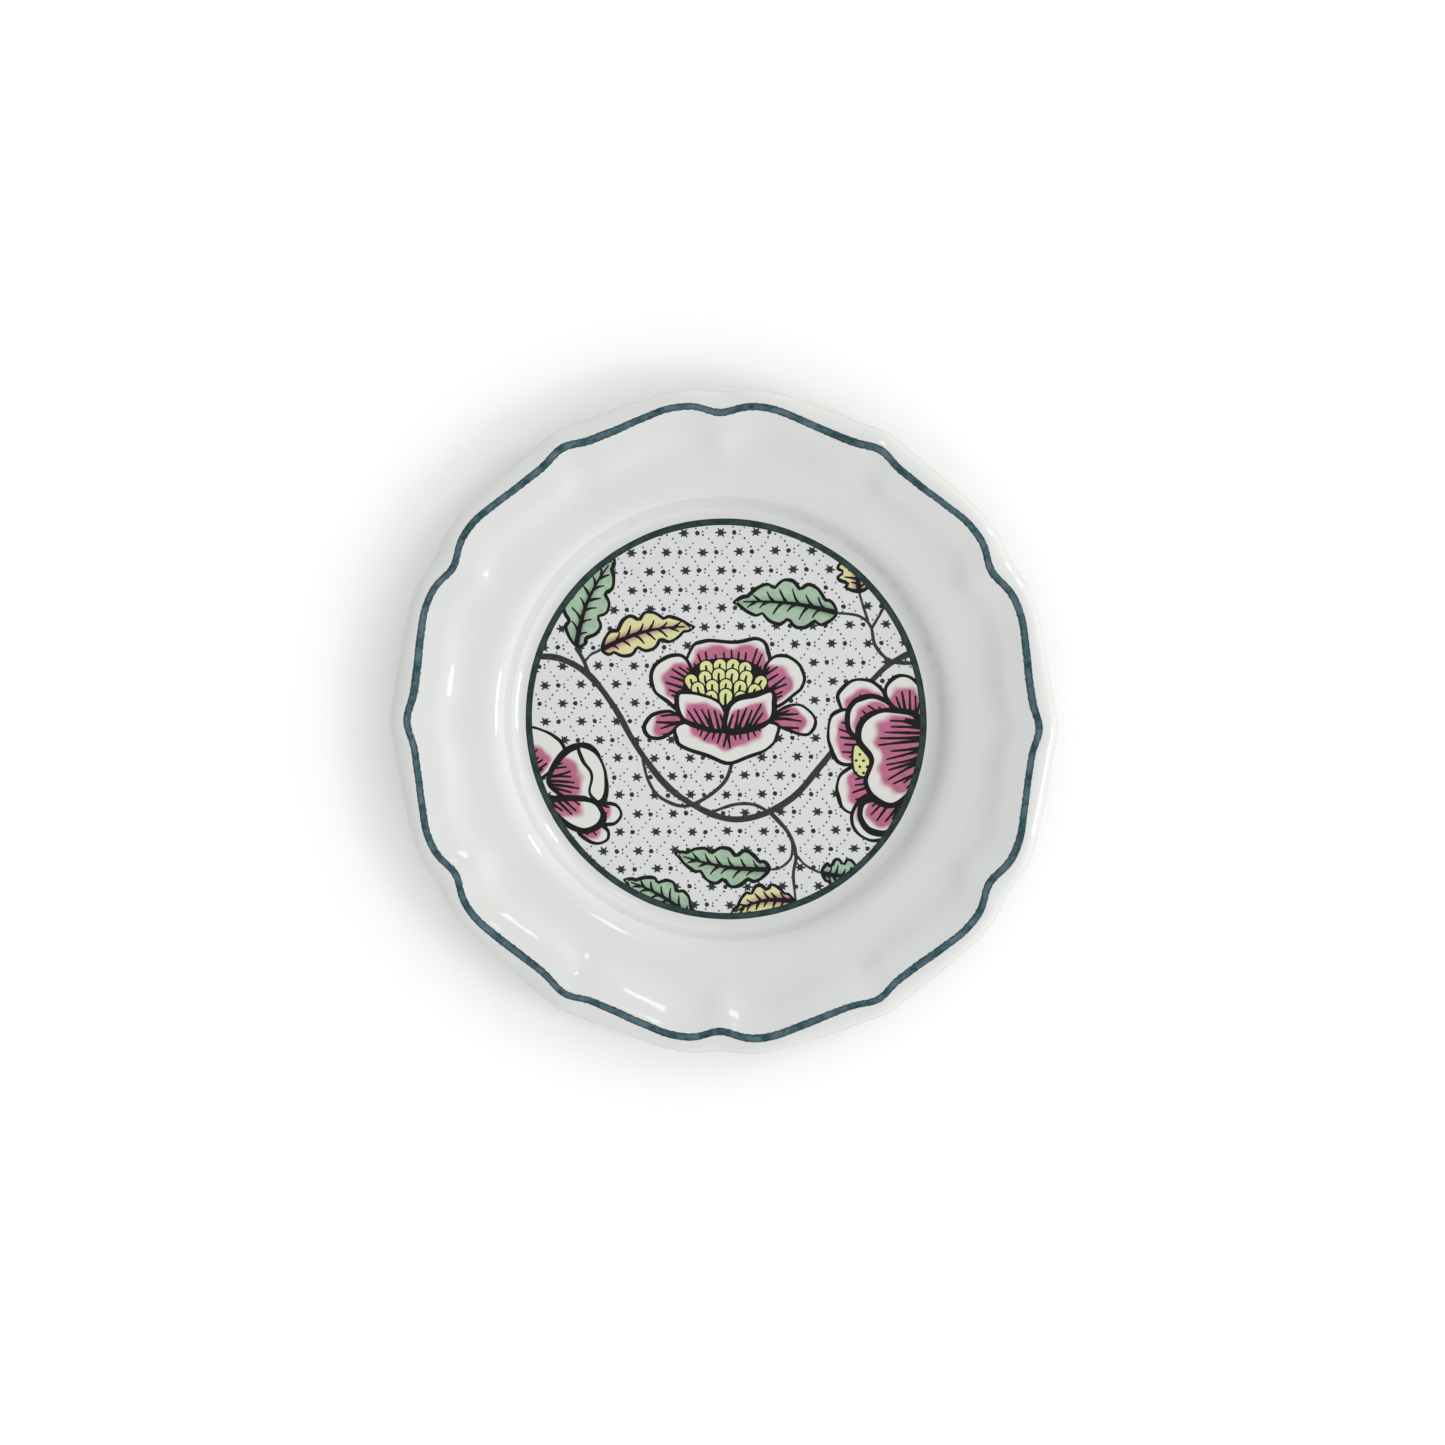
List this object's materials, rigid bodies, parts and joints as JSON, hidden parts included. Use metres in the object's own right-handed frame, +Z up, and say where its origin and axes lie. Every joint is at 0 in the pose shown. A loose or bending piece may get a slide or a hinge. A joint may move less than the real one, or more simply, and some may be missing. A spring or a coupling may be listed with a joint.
{
  "type": "china dinner plate",
  "caption": "Shallow round china dinner plate with a scalloped, stepped rim, a painted edge line, and a flat well decorated with a ringed floral print.",
  "frame": {"origin": "middle of the plate on the table plane, under its foot", "axes": "+Z up out of the well; +X through one outward point of the rim, to the right of the print; +Y toward the top of the print"},
  "size_m": [0.27, 0.269, 0.0236],
  "materials": {
    "glazed_china": "gloss",
    "slate_teal_colour": "gloss",
    "dark_green_colour": "gloss",
    "charcoal_print": "gloss",
    "leaf_green_colour": "gloss",
    "leaf_yellow_colour": "gloss",
    "petal_cream_colour": "gloss",
    "petal_pink_colour": "gloss",
    "stamen_yellow_colour": "gloss",
    "black_print": "gloss"
  },
  "bodies": {
    "root": {"body": "glazed_china", "rim_line": "slate_teal_colour", "medallion_ring": "dark_green_colour", "star_print": "charcoal_print", "vine_print": "charcoal_print", "green_leaf_wash": "leaf_green_colour", "yellow_leaf_wash": "leaf_yellow_colour", "petal_cream": "petal_cream_colour", "petal_pink": "petal_pink_colour", "stamen_yellow": "stamen_yellow_colour", "key_print": "black_print"}
  },
  "joints": []
}
